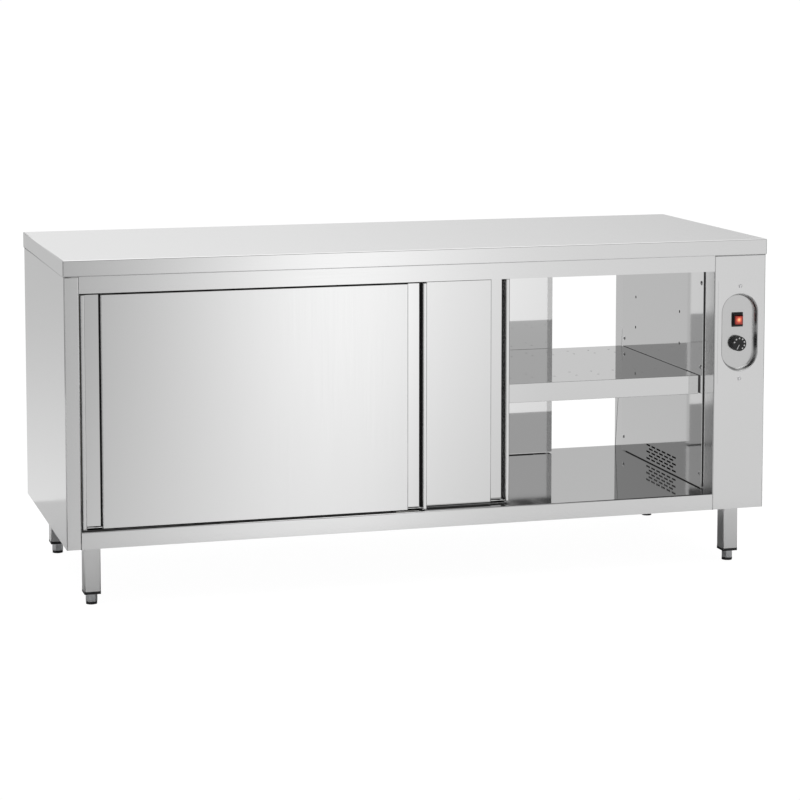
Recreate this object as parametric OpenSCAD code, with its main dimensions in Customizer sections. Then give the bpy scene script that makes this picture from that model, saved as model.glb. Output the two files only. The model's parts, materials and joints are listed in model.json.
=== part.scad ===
// Plate warmer cabinet: a pass-through heated cupboard under a steel worktop.
// Origin on the floor under the middle of the worktop, +X along the width,
// +Y to the back, +Z up, millimetres.

/* [Cabinet] */
// Overall width of the worktop
cab_w = 1800; // [1500:1:2000]
// Overall depth of the worktop
cab_d = 700; // [660:1:800]
// Height of the worktop above the floor, with the feet screwed in
cab_h = 842; // [820:1:950]
// Height of the folded worktop edge
top_edge = 40; // [40:1:60]
// Thickness of the body sheets
sheet = 1.2; // [1:0.1:2]
// Step from the worktop ends in to the body sides
side_inset = 2; // [0:0.5:10]
// Step from the worktop front edge back to the body face
face_inset = 3; // [2:0.5:10]
// Width of the left upright
upright_w = 36; // [30:1:60]
// Width of the right control column
column_w = 140; // [136:1:200]
// Height of the top rail above the doors
rail_top_h = 40; // [38:1:60]
// Height of the bottom rail below the doors
rail_bot_h = 42; // [38:1:60]

/* [Legs and feet] */
// Height of the body underside above the floor
leg_h = 148; // [120:1:200]
// Side of the square leg tube
leg_w = 40; // [35:1:50]
// Distance from the body side to the leg
leg_side = 48; // [20:1:100]
// Distance from the body face to the leg
leg_face = 47; // [20:1:100]
// Height of the tube end above the floor
tube_z = 33; // [28:1:55]
// Height of the plug head below the tube
plug_h = 7; // [4:0.5:10]
// Width of the foot hexagon over its corners
foot_hex = 29; // [20:1:36]
// Height of the foot pad
foot_pad_h = 6; // [4:0.5:10]
// Diameter of the foot stem
stem_d = 12; // [8:1:14]

/* [Doors] */
// Thickness of a door
door_t = 24; // [22:0.5:25]
// Spacing of the two lanes from front to back
lane_pitch = 31; // [30:0.5:32]
// Distance from the body face to the outer door
lane_start = 5; // [4:0.5:6]
// Overlap of two closed doors
door_overlap = 98; // [80:1:140]
// Gap between a closed door and the upright
door_gap = 4; // [2:0.5:5]
// Gap under and over the doors
door_lift = 3.5; // [3:0.5:5]
// Width of the narrow lip at each door edge
lip_w = 10; // [8:0.5:16]
// Width of the pull channel
chan_w = 38; // [28:1:50]
// Depth of the pull channel
chan_d = 19; // [15:0.5:20]
// Thickness of the door sheets
door_sheet = 1; // [0.8:0.1:1.5]
// How far the front inner door stands open to the left
slide_front = 532; // [0:1:600]
// How far the rear inner door stands open to the left
slide_rear = 206; // [0:1:600]

/* [Shelf] */
// Height of the shelf surface
shelf_z = 483.5; // [472:0.5:492]
// Distance from the worktop front to the shelf front
shelf_front = 86; // [80:1:120]
// Depth of the shelf
shelf_d = 548; // [460:1:552]
// Height of the shelf front flange
shelf_flange = 48; // [30:1:60]
// Height of the shelf end flanges
shelf_end = 12; // [8:0.5:20]
// Diameter of the shelf air holes
shelf_hole = 6; // [4:0.5:8]
// Spacing of the shelf holes along the width
shelf_pitch = 60; // [50:1:90]

/* [Inner walls] */
// Height of the lowest support hole
support_z = 464.5; // [452:0.5:472]
// Spacing of the support holes
support_pitch = 83.5; // [60:0.5:100]
// Diameter of the support holes
support_hole = 8; // [6:0.5:10]
// Height of the top row of air slots
slot_z = 238; // [212:1:292]
// Length of an air slot
slot_l = 27; // [15:1:30]
// Height of an air slot
slot_h = 4.6; // [3:0.1:5]

/* [Controls] */
// Width of the control plate
plate_w = 120; // [100:1:130]
// Height of the control plate
plate_h = 264; // [220:1:300]
// Width of the recessed dish
dish_w = 96; // [70:1:98]
// Height of the recessed dish
dish_h = 197; // [150:1:205]
// Depth of the recessed dish
dish_d = 17; // [10:0.5:19]
// Diameter of the thermostat knob
knob_d = 39.5; // [30:0.5:46]
// Height of the thermostat knob
knob_h = 17; // [12:0.5:18]

/* [Fan heater] */
// Diameter of the fan wheel
fan_d = 100; // [80:1:110]
// Number of fan blades
fan_blades = 7; // [5:1:9]
// Diameter of the heating tube
heater_d = 8; // [6:0.5:10]

/* [Hidden] */
clear = 0.3;
hw = cab_w / 2;
hd = cab_d / 2;
x_left = -hw + side_inset;
x_right = hw - side_inset;
y_face = -hd + face_inset;
z_bot = leg_h;
z_top = cab_h - top_edge;
z_open0 = z_bot + rail_bot_h;
z_open1 = z_top - rail_top_h;
x_open0 = x_left + upright_w;
x_open1 = x_right - column_w;
wall_step = 4;
xw_left = x_open0 + wall_step;
xw_right = x_open1 - wall_step;
zone_d = lane_start + lane_pitch + door_t + 1;
y_jamb = y_face + zone_d;
jamb_tail = 24;
y_wall = y_jamb + 3;
base_rim = 22;
wall_z = z_open0 + 2.5;
door_w = (x_open1 - x_open0 - 2 * door_gap + door_overlap) / 2;
door_z = z_open0 + door_lift;
door_h = z_open1 - door_lift - door_z;
end_w = lip_w + chan_w;
x_door0 = x_open0 + door_gap;
x_door1 = x_open1 - door_gap - door_w;
hook_t = 2.5;
hook_w = 24;
hook_x = 67;
hook_foot = 2;
lip_y = 8;
hook_y = 13;
track_lip_z = z_open1 + 17;
tread_r = 8.5;
wheel_r = 10.5;
wheel_w = 8;
pin_r = 3;
axle_z = track_lip_z + clear + tread_r;
leg_x = -x_left - leg_side - leg_w / 2;
leg_y = -y_face - leg_face - leg_w / 2;
leg_wall = 1.5;
shelf_x0 = xw_left + 3;
shelf_x1 = xw_right - 3;
shelf_y0 = -hd + shelf_front;
shelf_y1 = shelf_y0 + shelf_d;
support_y = [shelf_y0 + 137, shelf_y1 - 100];
screw_y = [y_wall + 12, -y_wall - 15];
screw_z = [z_open0 + 39, (z_open0 + z_open1) / 2 + 30, z_open1 - 38];
wool_gap = 47;
slot_pitch = 36.4;
slot_n = 6;
slot_rows = 5;
row_pitch = 9.2;
col_x = x_open1 + column_w / 2;
plate_z = z_open1 - 158;
plate_t = 1;
switch_z = plate_z + 31;
knob_z = plate_z - 30;
y_plate = y_face - plate_t;
y_dish = y_plate + dish_d;
duct_y = -10;
slot_y0 = duct_y - 103;
duct_l = 236;
duct_z0 = z_open0 + 3;
duct_h = 128;
duct_w = 84;
fan_z = duct_z0 + duct_h / 2;
duct_x = xw_right + sheet;
rocker_w = 19.5;
rocker_h = 24;
rocker_y = y_dish - 4;
collar_d = 9.5;
collar_t = 2.5;
bezel_w = 30;
bezel_h = 37;
board_t = 18;
gland_x = col_x;
gland_y = hd - 110;
track_t = 1.5;
plug_bore = stem_d / 2 + 0.06;
plug_in = 22;
hook_rise = 7;
pin_end = 2.6;
block_gap = 68;
block_d = 22;
block_w = 64;

steel = [0.80, 0.81, 0.82];
dark = [0.10, 0.10, 0.11];
zinc = [0.68, 0.69, 0.70];
nylon = [0.93, 0.93, 0.90];
wool = [0.86, 0.80, 0.58];

// ---------- helpers ----------

// Unit normal on the left of the step from a to b.
function side(a, b) = [a[1] - b[1], b[0] - a[0]] / norm(b - a);

// Point i of path p moved sideways by t with mitred corners.
function moved(p, t, i) =
  let (n1 = i == 0 ? side(p[0], p[1]) : side(p[i - 1], p[i]))
  let (n2 = i == len(p) - 1 ? n1 : side(p[i], p[i + 1]))
  p[i] + (n1 + n2) * t / (1 + n1 * n2);

// Folded sheet of thickness t on the left of path p.
module folded(p, t) {
  polygon(concat(p, [for (i = [len(p) - 1:-1:0]) moved(p, t, i)]));
}

// Extrude a profile drawn in (y, z) along X from x0 to x1.
module along_x(x0, x1) {
  translate([x0, 0, 0])
    rotate([90, 0, 90])
      linear_extrude(x1 - x0)
        children();
}

// Box between two corner points.
module block(a, b) {
  translate(a)
    cube(b - a);
}

// Both the given shape and its mirror image front to back.
module front_and_rear() {
  children();
  mirror([0, 1, 0])
    children();
}

// Cylinder along X starting at x, with its axis at (y, z).
module rod_x(x, y, z, r, l, n) {
  translate([x, y, z])
    rotate([0, 90, 0])
      cylinder(r = r, h = l, $fn = n);
}

// Cylinder along Y starting at y, with its axis at (x, z).
module rod_y(x, y, z, r, l, n) {
  translate([x, y, z])
    rotate([-90, 0, 0])
      cylinder(r = r, h = l, $fn = n);
}

// ---------- worktop ----------

module worktop() {
  color(steel)
    difference() {
      block([-hw, -hd, z_top], [hw, hd, cab_h]);
      block([-hw + sheet, -hd + sheet, z_top + sheet], [hw - sheet, hd - sheet, cab_h - sheet]);
      block([-hw + 22, -hd + 22, z_top - 1], [hw - 22, hd - 22, z_top + sheet + 1]);
    }
}

module worktop_board() {
  color(wool)
    block([-hw + 4, -hd + 4, cab_h - sheet - board_t], [hw - 4, hd - 4, cab_h - sheet]);
}

// Hat sections that carry the board on the upper tracks.
module worktop_stiffeners() {
  hat_h = top_edge - sheet - board_t;
  hat_top = hat_h - track_t;
  hat = [[-40, 0], [-22, 0], [-22, hat_top], [22, hat_top], [22, 0], [40, 0]];
  color(zinc)
    for (x = [-0.36, -0.12, 0.12, 0.36] * cab_w)
      translate([x, -hd + 26, z_top])
        rotate([90, 0, 180])
          linear_extrude(cab_d - 52)
            folded(hat, track_t);
}

// ---------- body ----------

// Plan outline of a side with uprights of width w, starting from the outer side at x = 0.
function jamb_path(w) = [
  [w - 15, y_jamb + jamb_tail], [w, y_jamb + jamb_tail], [w, y_face], [0, y_face],
  [0, -y_face], [w, -y_face], [w, -y_jamb - jamb_tail], [w - 15, -y_jamb - jamb_tail]
];

module side_wrap(w) {
  difference() {
    translate([0, 0, z_bot])
      linear_extrude(z_top - z_bot)
        folded(jamb_path(w), -sheet);
    block([sheet, y_face + sheet, z_bot - 1], [w + 1, -y_face - sheet, z_bot + base_rim + sheet]);
  }
  block([0, y_jamb + jamb_tail + 2, z_top - sheet], [15, -y_jamb - jamb_tail - 2, z_top]);
}

module jamb_holes(w) {
  for (y = screw_y)
    for (z = screw_z)
      rod_x(w - 5, y, z, 2.2 + clear, 10, 13);
}

module left_outer_panel() {
  color(steel)
    translate([x_left, 0, 0])
      difference() {
        side_wrap(upright_w);
        jamb_holes(upright_w);
      }
}

module right_outer_panel() {
  color(steel)
    difference() {
      translate([x_right, 0, 0])
        mirror([1, 0, 0])
          difference() {
            side_wrap(column_w);
            jamb_holes(column_w);
          }
      translate([col_x, y_face - 1, plate_z])
        rotate([-90, 0, 0])
          linear_extrude(sheet + 2)
            stadium(dish_w + 3, dish_h + 3, 24);
      for (z = [plate_z - plate_h / 2 + 13, plate_z + plate_h / 2 - 13])
        rod_y(col_x, y_face - 1, z, 1.8, 4, 13);
    }
}

// Inner wall with its face at x = 0 and its flanges towards -X.
module wall_sheet() {
  difference() {
    union() {
      block([-sheet, y_wall, wall_z], [0, -y_wall, z_top]);
      block([-12, y_jamb + jamb_tail + 12, z_top - sheet], [0, -y_jamb - jamb_tail - 12, z_top]);
    }
    for (y = screw_y)
      for (z = screw_z)
        rod_x(-5, y, z, 2.2 + clear, 10, 13);
    for (y = support_y)
      for (k = [0:2])
        rod_x(-5, y, support_z + k * support_pitch, support_hole / 2, 10, 16);
  }
}

module left_inner_wall() {
  color(steel)
    translate([xw_left, 0, 0])
      wall_sheet();
}

module right_inner_wall() {
  color(steel)
    translate([xw_right, 0, 0])
      mirror([1, 0, 0])
        difference() {
          wall_sheet();
          for (r = [0:slot_rows - 1])
            for (i = [0:slot_n - 1 - r % 2])
              translate([-5, slot_y0 + (i + (r % 2) / 2) * slot_pitch, slot_z - r * row_pitch - slot_h / 2])
                cube([10, slot_l, slot_h]);
        }
}

module floor_pan() {
  path = [[y_face, z_bot], [y_face, z_open0], [-y_face, z_open0], [-y_face, z_bot]];
  color(steel)
    along_x(x_open0, x_open1)
      folded(path, -sheet);
}

module base_panel() {
  y0 = y_face + sheet;
  path = [[y0, z_bot + base_rim], [y0, z_bot], [-y0, z_bot], [-y0, z_bot + base_rim]];
  color(zinc)
    difference() {
      along_x(x_left + sheet, x_right - sheet)
        folded(path, sheet);
      translate([gland_x, gland_y, z_bot - 1])
        cylinder(r = 8.3, h = 4, $fn = 20);
    }
}

module ceiling_panel() {
  y0 = y_wall;
  path = [[y0, z_top - track_t], [y0, z_open1], [-y0, z_open1], [-y0, z_top - track_t]];
  color(steel)
    along_x(xw_left, xw_right)
      folded(path, sheet);
}

module top_rails() {
  path = [[y_face + 3.5, z_open1], [y_face, z_open1], [y_face, z_top]];
  color(steel)
    front_and_rear()
      along_x(x_open0, x_open1)
        folded(path, -sheet);
}

// Twin track open at the bottom, with an upturned lip for each lane.
module upper_tracks() {
  y0 = y_face + sheet;
  y1 = y_wall;
  lip0 = y_face + lane_start + lip_y + track_t / 2;
  lip1 = y_face + lane_start + lane_pitch + door_t - lip_y - track_t / 2;
  zf = track_lip_z - 8.5;
  path = [
    [lip0, track_lip_z], [lip0, zf], [y0, zf], [y0, z_top],
    [y1, z_top], [y1, zf], [lip1, zf], [lip1, track_lip_z]
  ];
  color(zinc)
    front_and_rear()
      along_x(x_open0, x_open1)
        folded(path, -track_t);
}

module insulation() {
  y = -y_face - wool_gap;
  yc = -y_wall - 13;
  color(wool) {
    block([x_left + sheet, -y, z_bot + 8], [x_left + upright_w - 16 - sheet, y, z_top - 4]);
    block([x_open0 + 4, -y, z_bot + sheet], [x_open1 - 4, y, z_open0 - sheet - 5]);
    block([xw_left + 4, -yc, z_open1 + sheet], [xw_right - 4, yc, z_top - 4]);
  }
}

// Nylon guides on the floor: one fin between the lanes, one behind the inner door.
module bottom_guides() {
  y0 = y_face + lane_start;
  y1 = y0 + lane_pitch + door_t;
  xm = (x_open0 + x_open1) / 2;
  color(nylon)
    front_and_rear() {
      block([xm - 30, y0 + 3, z_open0], [xm + 30, y1 + 4, z_open0 + 2.5]);
      block([xm - 25, y0 + door_t + 0.7, z_open0], [xm + 25, y0 + lane_pitch - 0.7, z_open0 + 12]);
      block([xm - 25, y1 + 0.8, z_open0], [xm + 25, y1 + 4, z_open0 + 12]);
    }
}

// ---------- shelf ----------

module shelf() {
  cols = floor((shelf_x1 - shelf_x0 - 100) / shelf_pitch);
  path = [
    [14, -shelf_flange], [0, -shelf_flange], [0, 0], [shelf_d, 0],
    [shelf_d, -shelf_flange], [shelf_d - 14, -shelf_flange]
  ];
  color(steel)
    difference() {
      union() {
        translate([0, shelf_y0, shelf_z])
          along_x(shelf_x0, shelf_x1)
            folded(path, -sheet);
        for (x = [shelf_x0, shelf_x1 - sheet])
          block([x, shelf_y0 + 20, shelf_z - shelf_end], [x + sheet, shelf_y1 - 20, shelf_z]);
      }
      for (c = [0:cols])
        for (y = [90, 142, shelf_d - 112, shelf_d - 62])
          translate([shelf_x1 - 61 - c * shelf_pitch, shelf_y0 + y, shelf_z - 5])
            cylinder(d = shelf_hole, h = 10, $fn = 13);
    }
}

// Four ledges that hook into the wall holes under the shelf ends.
module shelf_supports() {
  z1 = shelf_z - shelf_end;
  color(zinc)
    for (m = [0, 1])
      mirror([m, 0, 0])
        for (y = support_y)
          translate([m == 0 ? xw_right : -xw_left, y, 0]) {
            block([-1.5, -10, z1 - 16], [0, 10, z1]);
            block([-14, -10, z1 - 2], [0, 10, z1]);
            rod_x(-1, 0, support_z, support_hole / 2 - clear, 7, 14);
          }
}

module wall_screws() {
  color(zinc)
    for (m = [0, 1])
      mirror([m, 0, 0])
        for (y = screw_y)
          for (z = screw_z) {
            rod_x((m == 0 ? xw_right : -xw_left) - 1.8, y, z, 4.5, 1.8, 14);
            rod_x((m == 0 ? xw_right : -xw_left) - 1, y, z, 2.2, 9, 13);
          }
}

// ---------- legs and feet ----------

// Place a shape at the leg on side sx (left -1) and sy (front -1).
module at_leg(sx, sy) {
  translate([sx * leg_x, sy * leg_y, 0])
    children();
}

module legs() {
  color(steel)
    for (sx = [-1, 1])
      for (sy = [-1, 1])
        at_leg(sx, sy)
          difference() {
            block([-leg_w / 2, -leg_w / 2, tube_z], [leg_w / 2, leg_w / 2, z_bot]);
            block(
              [-leg_w / 2 + leg_wall, -leg_w / 2 + leg_wall, tube_z - 1],
              [leg_w / 2 - leg_wall, leg_w / 2 - leg_wall, z_bot - 3]
            );
          }
}

module leg_plugs() {
  inner = leg_w / 2 - leg_wall;
  color(dark)
    for (sx = [-1, 1])
      for (sy = [-1, 1])
        at_leg(sx, sy)
          difference() {
            union() {
              block([-leg_w / 2, -leg_w / 2, tube_z - plug_h], [leg_w / 2, leg_w / 2, tube_z]);
              block([-inner, -inner, tube_z], [inner, inner, tube_z + plug_in]);
            }
            translate([0, 0, tube_z - plug_h - 1])
              cylinder(r = plug_bore, h = plug_h + plug_in + 2, $fn = 20);
          }
}

module foot(sx, sy) {
  color(zinc)
    at_leg(sx, sy) {
      translate([0, 0, foot_pad_h])
        cylinder(d = foot_hex, h = tube_z - plug_h - foot_pad_h, $fn = 6);
      translate([0, 0, foot_pad_h + 1])
        cylinder(d = stem_d, h = z_bot - foot_pad_h - 30, $fn = 20);
    }
}

module pad(sx, sy) {
  color(dark)
    at_leg(sx, sy)
      cylinder(d = foot_hex - 2, h = foot_pad_h, $fn = 28);
}

module foot_front_left() {
  foot(-1, -1);
}

module foot_front_right() {
  foot(1, -1);
}

module foot_rear_left() {
  foot(-1, 1);
}

module foot_rear_right() {
  foot(1, 1);
}

module pad_front_left() {
  pad(-1, -1);
}

module pad_front_right() {
  pad(1, -1);
}

module pad_rear_left() {
  pad(-1, 1);
}

module pad_rear_right() {
  pad(1, 1);
}

// ---------- doors ----------

// Outer sheet, front at y = 0, with a pull channel at each upright edge.
module door_skin() {
  c0 = lip_w;
  c1 = lip_w + chan_w;
  w = door_w;
  back = door_t - door_sheet;
  path = [
    [0, back], [0, 0], [c0, 0], [c0, chan_d], [c1, chan_d], [c1, 0],
    [w - c1, 0], [w - c1, chan_d], [w - c0, chan_d], [w - c0, 0], [w, 0], [w, back]
  ];
  color(steel) {
    linear_extrude(door_h)
      folded(path, door_sheet);
    for (z = [0, door_h - door_sheet])
      block([c1, 0, z], [w - c1, 9, z + door_sheet]);
  }
}

// Inner sheet that closes the back of a door.
module door_liner() {
  back = door_t - door_sheet;
  color(steel) {
    block([0, back, 0], [door_w, door_t, door_h]);
    for (z = [0, door_h - door_sheet])
      block([end_w + 2, 15, z], [door_w - end_w - 2, door_t, z + door_sheet]);
  }
}

// Steps of the door top where the hangers stand.
function hook_at(i) = i == 0 ? hook_x : door_w - hook_x;

module door_hangers() {
  az = axle_z - door_z;
  color(zinc)
    for (i = [0, 1])
      translate([hook_at(i), 0, 0]) {
        block([-hook_w / 2, hook_foot, door_h], [hook_w / 2, door_t - hook_foot, door_h + hook_foot]);
        block([-hook_w / 4, hook_y, door_h], [hook_w / 4, hook_y + hook_t, az + hook_rise]);
        rod_y(0, hook_y - wheel_w - pin_end, az, pin_r, wheel_w + pin_end + 1, 16);
        rod_y(0, hook_y - wheel_w - pin_end, az, pin_r + 1.5, 1.2, 16);
      }
}

// Grooved wheel that runs on the upturned track lip.
module door_roller(i) {
  h = wheel_w / 2;
  color(nylon)
    translate([hook_at(i), lip_y, axle_z - door_z])
      rotate([-90, 0, 0])
        rotate_extrude($fn = 20)
          polygon([
            [pin_r + 0.06, -h], [wheel_r, -h], [wheel_r, -1.6], [tread_r, -1.6],
            [tread_r, 1.6], [wheel_r, 1.6], [wheel_r, h], [pin_r + 0.06, h]
          ]);
}

// Place a door: left doors run in the outer lane, right doors in the inner one.
module front_left() {
  translate([x_door0, y_face + lane_start, door_z])
    children();
}

module front_right() {
  translate([x_door1 - slide_front, y_face + lane_start + lane_pitch, door_z])
    children();
}

module rear_left() {
  mirror([0, 1, 0])
    front_left()
      children();
}

module rear_right() {
  mirror([0, 1, 0])
    translate([slide_front - slide_rear, 0, 0])
      front_right()
        children();
}

// Hanger parts of the inner lane face the other way.
module turned() {
  translate([0, door_t, 0])
    mirror([0, 1, 0])
      children();
}

module front_left_skin() {
  front_left()
    door_skin();
}

module front_left_liner() {
  front_left()
    door_liner();
}

module front_left_hangers() {
  front_left()
    door_hangers();
}

module front_left_roller_a() {
  front_left()
    door_roller(0);
}

module front_left_roller_b() {
  front_left()
    door_roller(1);
}

module front_right_skin() {
  front_right()
    door_skin();
}

module front_right_liner() {
  front_right()
    door_liner();
}

module front_right_hangers() {
  front_right()
    turned()
      door_hangers();
}

module front_right_roller_a() {
  front_right()
    turned()
      door_roller(0);
}

module front_right_roller_b() {
  front_right()
    turned()
      door_roller(1);
}

module rear_left_skin() {
  rear_left()
    door_skin();
}

module rear_left_liner() {
  rear_left()
    door_liner();
}

module rear_left_hangers() {
  rear_left()
    door_hangers();
}

module rear_left_roller_a() {
  rear_left()
    door_roller(0);
}

module rear_left_roller_b() {
  rear_left()
    door_roller(1);
}

module rear_right_skin() {
  rear_right()
    door_skin();
}

module rear_right_liner() {
  rear_right()
    door_liner();
}

module rear_right_hangers() {
  rear_right()
    turned()
      door_hangers();
}

module rear_right_roller_a() {
  rear_right()
    turned()
      door_roller(0);
}

module rear_right_roller_b() {
  rear_right()
    turned()
      door_roller(1);
}

// ---------- controls ----------

// Oblong with round ends, w wide and h high.
module stadium(w, h, n) {
  square([w, h - w], center = true);
  for (s = [-1, 1])
    translate([0, s * (h - w) / 2])
      circle(d = w, $fn = n);
}

// Oblong prism from y0, l deep, centred on the control plate.
module dish_prism(w, h, y0, l) {
  translate([col_x, y0, plate_z])
    rotate([-90, 0, 0])
      linear_extrude(l)
        stadium(w, h, 36);
}

module control_plate() {
  color(steel)
    difference() {
      union() {
        block(
          [col_x - plate_w / 2, y_plate, plate_z - plate_h / 2],
          [col_x + plate_w / 2, y_face, plate_z + plate_h / 2]
        );
        dish_prism(dish_w + 2, dish_h + 2, y_plate, dish_d + plate_t);
      }
      dish_prism(dish_w, dish_h, y_plate - 1, dish_d + 1);
      block(
        [col_x - bezel_w / 2 + 2, y_plate, switch_z - bezel_h / 2 + 2],
        [col_x + bezel_w / 2 - 2, y_dish + 9, switch_z + bezel_h / 2 - 2]
      );
      rod_y(col_x, y_plate, knob_z, 5.5, dish_d + 9, 16);
      for (z = [plate_z - plate_h / 2 + 13, plate_z + plate_h / 2 - 13])
        rod_y(col_x, y_plate - 1, z, 1.8, 4, 13);
    }
}

module plate_screws() {
  color(zinc)
    for (z = [plate_z - plate_h / 2 + 13, plate_z + plate_h / 2 - 13]) {
      rod_y(col_x, y_plate - 1.4, z, 3, 1.4, 16);
      rod_y(col_x, y_plate - 1, z, 1.5, 9, 13);
    }
}

// Frame of the switch: bezel and raised collar in the dish, and a box behind it.
module switch_housing() {
  w = rocker_w / 2 + collar_t;
  h = rocker_h / 2 + collar_t;
  color(dark)
    difference() {
      union() {
        block(
          [col_x - bezel_w / 2, y_dish - 2.5, switch_z - bezel_h / 2],
          [col_x + bezel_w / 2, y_dish, switch_z + bezel_h / 2]
        );
        block([col_x - w, y_dish - collar_d, switch_z - h], [col_x + w, y_dish - 1, switch_z + h]);
        block(
          [col_x - bezel_w / 2 + 2, y_dish - 1, switch_z - bezel_h / 2 + 2],
          [col_x + bezel_w / 2 - 2, y_dish + 26, switch_z + bezel_h / 2 - 2]
        );
      }
      block(
        [col_x - rocker_w / 2 - 0.5, y_dish - collar_d - 1, switch_z - rocker_h / 2 - 0.5],
        [col_x + rocker_w / 2 + 0.5, y_dish + 5, switch_z + rocker_h / 2 + 0.5]
      );
      rod_x(col_x - rocker_w / 2 - 2.2, rocker_y, switch_z, 1.5, rocker_w + 4.4, 14);
    }
}

// Two-faced rocker on a cross pin inside the collar.
module rocker() {
  h = rocker_h / 2;
  color([0.85, 0.08, 0.06]) {
    translate([col_x + rocker_w / 2, rocker_y, switch_z])
      rotate([90, 0, -90])
        linear_extrude(rocker_w)
          polygon([[11, h - 2.4], [7.8, 0], [9.2, -h + 0.6], [-4, -h + 3], [-4, h - 3]]);
    rod_x(col_x - rocker_w / 2 - 2, rocker_y, switch_z, 1.44, rocker_w + 4, 14);
  }
}

// Thermostat box behind the dish with a round shaft through it.
module thermostat() {
  y1 = y_dish + plate_t;
  color(zinc) {
    block([col_x - 18, y1, knob_z - 18], [col_x + 18, y1 + 22, knob_z + 18]);
    rod_y(col_x, y1 - 8, knob_z, 5, 10, 16);
    rod_y(col_x, y_plate + 5, knob_z, 3, dish_d, 16);
  }
}

// Round knob with a slim pointer ridge on its face, bored for the shaft.
module knob() {
  y1 = y_dish - 0.6;
  y_face_in = y1 - knob_h + 1;
  color(dark)
    difference() {
      union() {
        translate([col_x, y1, knob_z])
          rotate([90, 0, 0])
            cylinder(r1 = knob_d / 2, r2 = knob_d / 2 - 1, h = knob_h - 1, $fn = 32);
        translate([col_x, y_face_in, knob_z])
          rotate([0, 27, 0])
            block([-1.4, -1, -knob_d / 2 + 4], [1.4, 2, -1]);
      }
      rod_y(col_x, y1 - knob_h + 4.5, knob_z, 3.06, knob_h, 16);
      rod_y(col_x, y1 - 8.5, knob_z, 5.4, 9, 16);
    }
}

// ---------- fan heater in the control column ----------

module fan_duct() {
  color(zinc)
    translate([duct_x, duct_y - duct_l / 2, duct_z0])
      difference() {
        cube([duct_w, duct_l, duct_h]);
        translate([-1, 1.2, 1.2])
          cube([duct_w - 0.2, duct_l - 2.4, duct_h - 2.4]);
        for (s = [-1, 1])
          translate([duct_w / 2, duct_l / 2 + s * 62, duct_h - 4])
            cylinder(r = 24, h = 8, $fn = 24);
        rod_x(duct_w - 4, duct_l / 2, duct_h / 2, 8, 8, 16);
        for (z = [26, 50])
          rod_x(duct_w - 4, duct_l - 18, z, heater_d / 2 + clear, 8, 13);
      }
}

module fan_motor() {
  x = duct_x + duct_w;
  color(zinc) {
    rod_x(x, duct_y, fan_z, 32, 44, 32);
    rod_x(x, duct_y, fan_z, 7, 48, 16);
    rod_x(x - 52, duct_y, fan_z, 4, 54, 16);
  }
}

module fan_wheel() {
  x = duct_x + duct_w - 50;
  color(zinc)
    difference() {
      union() {
        rod_x(x, duct_y, fan_z, 12, 22, 20);
        for (i = [0:fan_blades - 1])
          translate([x + 11, duct_y, fan_z])
            rotate([i * 360 / fan_blades, 0, 0])
              rotate([0, 0, 35])
                translate([-1, -9, 8])
                  cube([1.4, 20, fan_d / 2 - 8]);
      }
      rod_x(x - 15, duct_y, fan_z, 4.05, 60, 16);
    }
}

// Hairpin heating tube in front of the fan, ends through the duct back.
module heating_element() {
  r = 12;
  x = duct_x + 14;
  yl = duct_y - duct_l / 2 + 34;
  yr = duct_y + duct_l / 2 - 30;
  z0 = duct_z0 + 26;
  color(zinc) {
    for (k = [0, 1])
      translate([x, yl, z0 + 2 * r * k])
        rotate([-90, 0, 0])
          cylinder(d = heater_d, h = yr - yl, $fn = 16);
    translate([x, yl, z0 + r])
      rotate([90, 0, -90])
        rotate([0, 0, -90])
          rotate_extrude(angle = 180, $fn = 24)
            translate([r, 0])
              circle(d = heater_d, $fn = 14);
    for (k = [0, 1]) {
      translate([x + r, yr, z0 + 2 * r * k])
        rotate([0, 0, 90])
          rotate_extrude(angle = 90, $fn = 24)
            translate([r, 0])
              circle(d = heater_d, $fn = 14);
      rod_x(x + r, yr + r, z0 + 2 * r * k, heater_d / 2, duct_w - 8, 16);
    }
    block([duct_x + duct_w, yr + 2, z0 - 10], [duct_x + duct_w + 1.5, yr + 22, z0 + 2 * r + 10]);
  }
}

module safety_cutout() {
  color(dark)
    translate([duct_x + 30, duct_y, duct_z0 + duct_h]) {
      cylinder(r = 10, h = 7, $fn = 20);
      block([-5, -3, 6], [-4, 3, 16]);
      block([4, -3, 6], [5, 3, 16]);
    }
}

// ---------- supply ----------

module terminal_block() {
  y1 = gland_y - block_gap;
  color(nylon)
    difference() {
      translate([col_x - block_w / 2, y1 - block_d, z_bot + sheet])
        cube([block_w, block_d, 18]);
      for (i = [-2:2])
        translate([col_x + i * 12, y1 - block_d / 2, z_bot + sheet + 6])
          cylinder(r = 3.6, h = 20, $fn = 13);
    }
}

// Gland for the supply cord, pointing down under the body.
module cable_gland() {
  color(dark)
    translate([gland_x, gland_y, z_bot])
      difference() {
        union() {
          translate([0, 0, -8])
            cylinder(r = 13, h = 8, $fn = 6);
          translate([0, 0, -22])
            cylinder(r1 = 8.5, r2 = 11, h = 14, $fn = 24);
          translate([0, 0, -2])
            cylinder(r = 8, h = 14, $fn = 20);
          translate([0, 0, sheet])
            cylinder(r = 13, h = 5, $fn = 6);
        }
        translate([0, 0, -30])
          cylinder(r = 4.5, h = 60, $fn = 16);
      }
}

// ---------- picture ----------

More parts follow.
